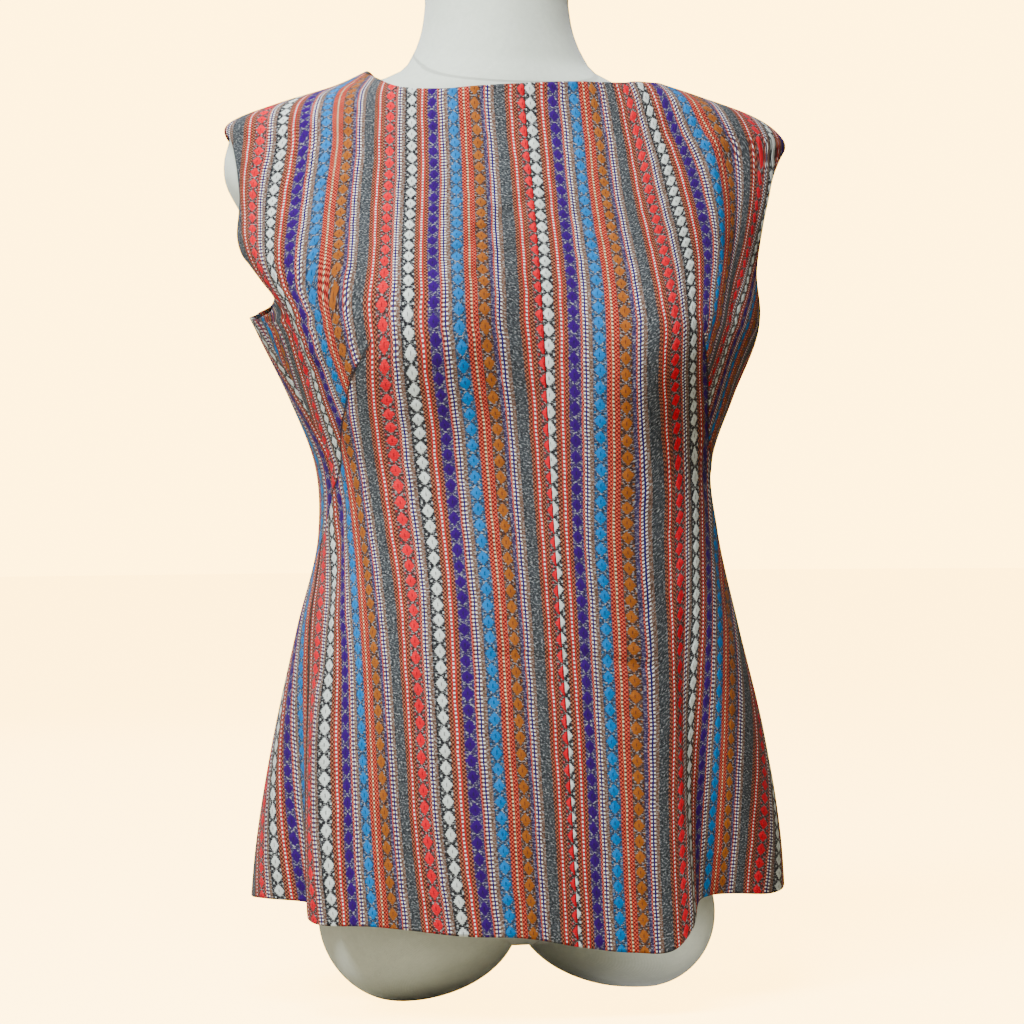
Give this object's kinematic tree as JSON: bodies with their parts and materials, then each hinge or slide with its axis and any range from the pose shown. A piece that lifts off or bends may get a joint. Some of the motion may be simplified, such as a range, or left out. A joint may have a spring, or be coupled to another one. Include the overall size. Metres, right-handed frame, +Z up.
{
  "type": "sleeveless tunic on a dress form",
  "caption": "Sleeveless A-line tunic in woven multicoloured stripes, with a boat neck and a centre front seam, resting on a limbless torso form with a plain neck.",
  "frame": {"origin": "on the floor under the middle of the outline seen from above", "axes": "+Z up, the tunic's front towards -Y, the wearer's left towards +X"},
  "size_m": [0.4393, 0.2875, 0.775],
  "materials": {
    "cloth_front": "woven wool stripes in red, white, purple, blue, orange and grey, matt",
    "cloth_back": "the same cloth, turned end for end",
    "form_jersey": "pale grey-green jersey, matt"
  },
  "bodies": {
    "root": {"front_right": "cloth_front", "front_left": "cloth_front", "back_right": "cloth_back", "back_left": "cloth_back", "dress_form": "form_jersey"}
  },
  "joints": []
}
